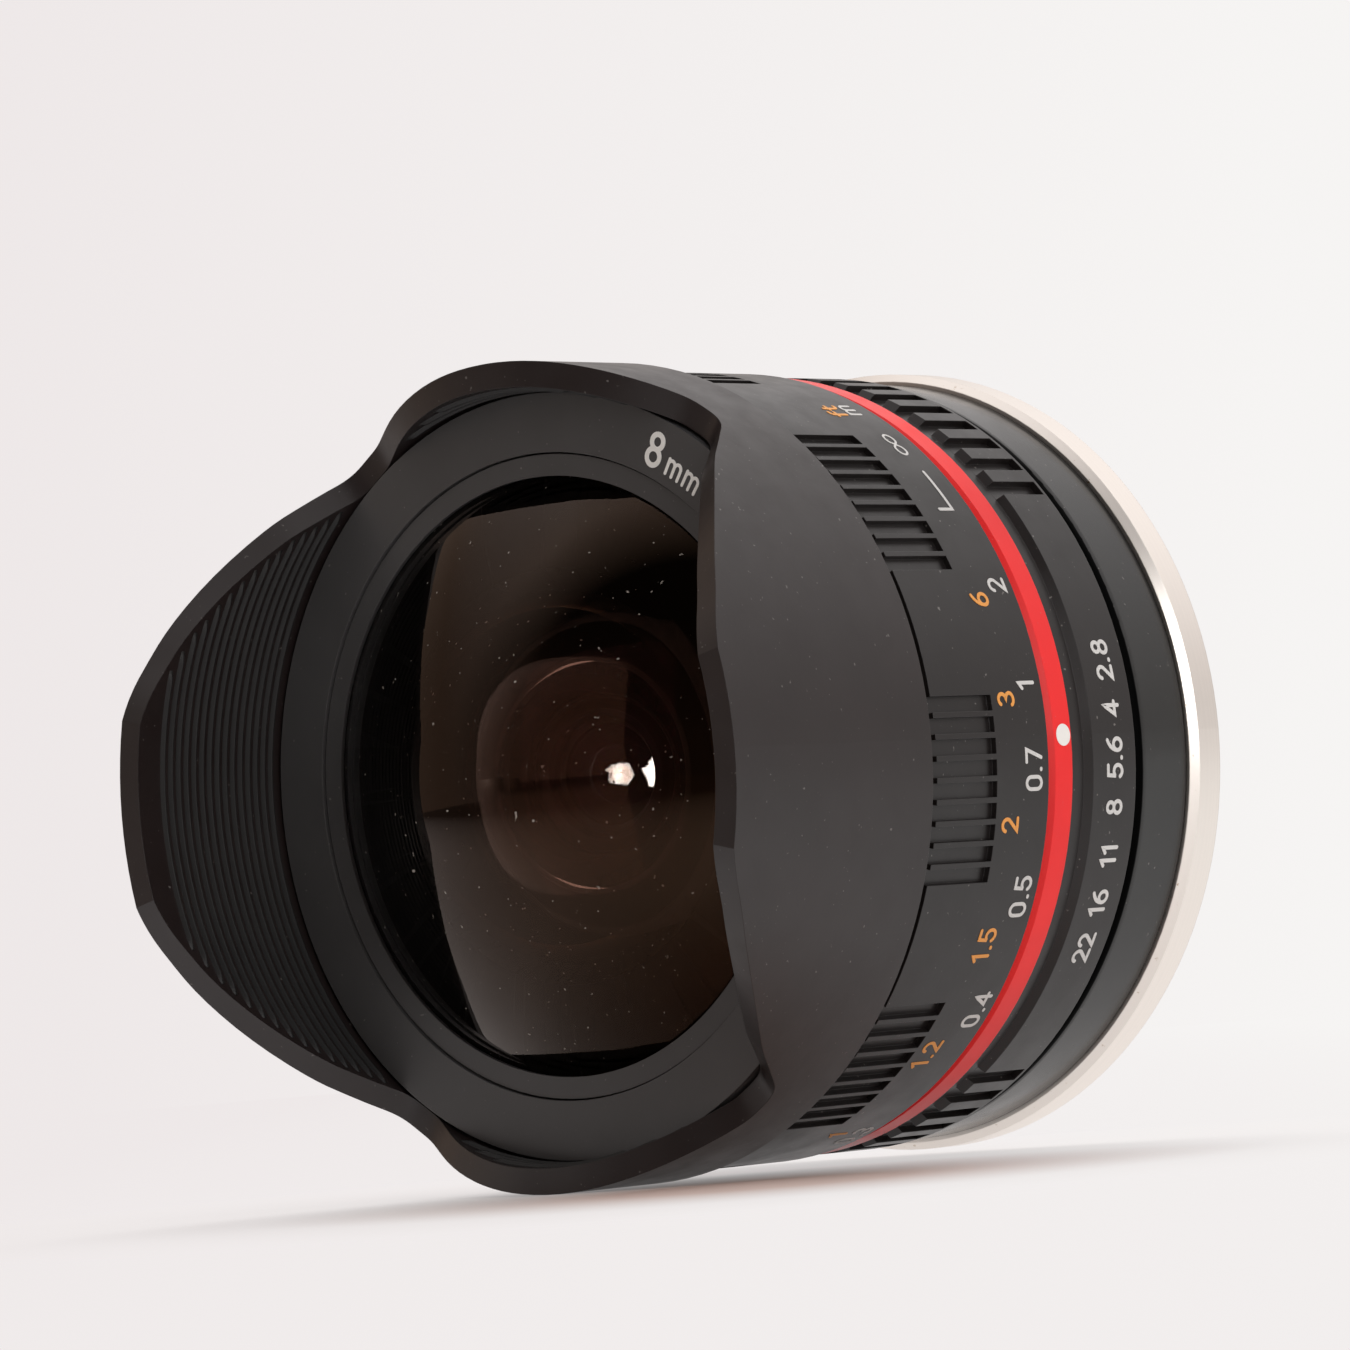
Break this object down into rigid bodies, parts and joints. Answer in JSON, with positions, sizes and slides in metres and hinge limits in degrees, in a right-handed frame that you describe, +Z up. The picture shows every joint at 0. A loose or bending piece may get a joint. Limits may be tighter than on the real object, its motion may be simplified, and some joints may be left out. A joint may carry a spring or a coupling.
{
  "type": "fisheye lens",
  "caption": "Manual fisheye lens with petal hood, ribbed focus and aperture rings, bayonet mount, iris and sliding lens cell.",
  "frame": {"origin": "centre of the mount flange's rear face, on the optical axis", "axes": "+Y along the optical axis towards the camera, so the front glass faces -Y; +X through the index dot; +Z up, the way the lens lies in the picture"},
  "size_m": [0.06, 0.0607, 0.06],
  "materials": {
    "hood_black": "fine matt black paint",
    "ring_black": "satin black paint",
    "barrel_black": "satin warm black paint",
    "gloss_black": "glossy black paint",
    "inner_black": "matt black anodised",
    "baffle_black": "matt black",
    "red_anodised": "red anodised, satin",
    "white_fill": "white enamel",
    "silver_satin": "satin champagne silver",
    "mount_chrome": "satin chrome",
    "steel": "plain steel",
    "brass": "turned brass",
    "blade_black": "thin blackened steel",
    "coated_glass": "polished, coated"
  },
  "bodies": {
    "body": {"petal_hood": "hood_black", "name_ring": "ring_black", "main_barrel": "inner_black", "index_ring": "red_anodised", "index_dot": "white_fill", "rear_barrel": "gloss_black", "silver_ring": "silver_satin", "mount_plate": "mount_chrome", "mount_screws": "steel", "rear_baffle": "baffle_black", "click_ball": "steel", "click_spring": "steel", "focus_stop_pin": "steel"},
    "focus": {"focus_ring": "barrel_black", "cam_sleeve": "brass"},
    "cell": {"front_cell": "inner_black", "front_retaining_ring": "ring_black", "lens_element_01": "coated_glass", "lens_element_02": "coated_glass", "lens_element_03": "coated_glass", "lens_element_04": "coated_glass", "lens_element_05": "coated_glass", "lens_element_06": "coated_glass", "lens_element_07": "coated_glass", "lens_element_08": "coated_glass", "lens_element_09": "coated_glass", "lens_element_10": "coated_glass", "lens_element_11": "coated_glass", "spacer_1": "inner_black", "spacer_2": "inner_black", "spacer_3": "inner_black", "spacer_4": "inner_black", "spacer_5": "inner_black", "rear_cell": "inner_black", "rear_retaining_ring": "inner_black", "iris_base_plate": "inner_black", "cell_screws": "steel", "cam_rollers": "brass", "roller_screws": "steel"},
    "aperture": {"aperture_ring": "barrel_black", "aperture_lever": "steel"},
    "iris_driver": {"iris_cam_ring": "brass"},
    "blade_1": {"iris_blade_1": "blade_black"},
    "blade_2": {"iris_blade_2": "blade_black"},
    "blade_3": {"iris_blade_3": "blade_black"},
    "blade_4": {"iris_blade_4": "blade_black"},
    "blade_5": {"iris_blade_5": "blade_black"},
    "blade_6": {"iris_blade_6": "blade_black"}
  },
  "joints": [
    {"name": "focus_turn", "type": "hinge", "parent": "body", "child": "focus", "pos_m": [0, 0, 0], "axis": [0, 1, 0], "range_deg": [-69.8, 38]},
    {"name": "cell_slide", "type": "slide", "parent": "body", "child": "cell", "axis": [0, -1, 0], "range_m": [-0.0000772, 0.0001419]},
    {"name": "aperture_turn", "type": "hinge", "parent": "body", "child": "aperture", "pos_m": [0, 0, 0], "axis": [0, 1, 0], "range_deg": [-31.86, 10.62]},
    {"name": "iris_driver_turn", "type": "hinge", "parent": "cell", "child": "iris_driver", "pos_m": [0, 0, 0], "axis": [0, 1, 0], "range_deg": [-31.86, 10.62]},
    {"name": "blade_1_swing", "type": "hinge", "parent": "cell", "child": "blade_1", "pos_m": [0.0108, -0.0239, 0], "axis": [0, 1, 0], "range_deg": [-16.13, 5.38]},
    {"name": "blade_2_swing", "type": "hinge", "parent": "cell", "child": "blade_2", "pos_m": [0.0054, -0.0239, 0.00935], "axis": [0, 1, 0], "range_deg": [-16.13, 5.38]},
    {"name": "blade_3_swing", "type": "hinge", "parent": "cell", "child": "blade_3", "pos_m": [-0.0054, -0.0239, 0.00935], "axis": [0, 1, 0], "range_deg": [-16.13, 5.38]},
    {"name": "blade_4_swing", "type": "hinge", "parent": "cell", "child": "blade_4", "pos_m": [-0.0108, -0.0239, 0], "axis": [0, 1, 0], "range_deg": [-16.13, 5.38]},
    {"name": "blade_5_swing", "type": "hinge", "parent": "cell", "child": "blade_5", "pos_m": [-0.0054, -0.0239, -0.00935], "axis": [0, 1, 0], "range_deg": [-16.13, 5.38]},
    {"name": "blade_6_swing", "type": "hinge", "parent": "cell", "child": "blade_6", "pos_m": [0.0054, -0.0239, -0.00935], "axis": [0, 1, 0], "range_deg": [-16.13, 5.38]}
  ],
  "couplings": [
    {"joint": "cell_slide", "follows": "focus_turn", "m_per_rad": -0.0001164},
    {"joint": "iris_driver_turn", "follows": "aperture_turn", "ratio": 1},
    {"joint": "blade_1_swing", "follows": "aperture_turn", "ratio": 0.50612},
    {"joint": "blade_2_swing", "follows": "aperture_turn", "ratio": 0.50612},
    {"joint": "blade_3_swing", "follows": "aperture_turn", "ratio": 0.50612},
    {"joint": "blade_4_swing", "follows": "aperture_turn", "ratio": 0.50612},
    {"joint": "blade_5_swing", "follows": "aperture_turn", "ratio": 0.50612},
    {"joint": "blade_6_swing", "follows": "aperture_turn", "ratio": 0.50612}
  ]
}
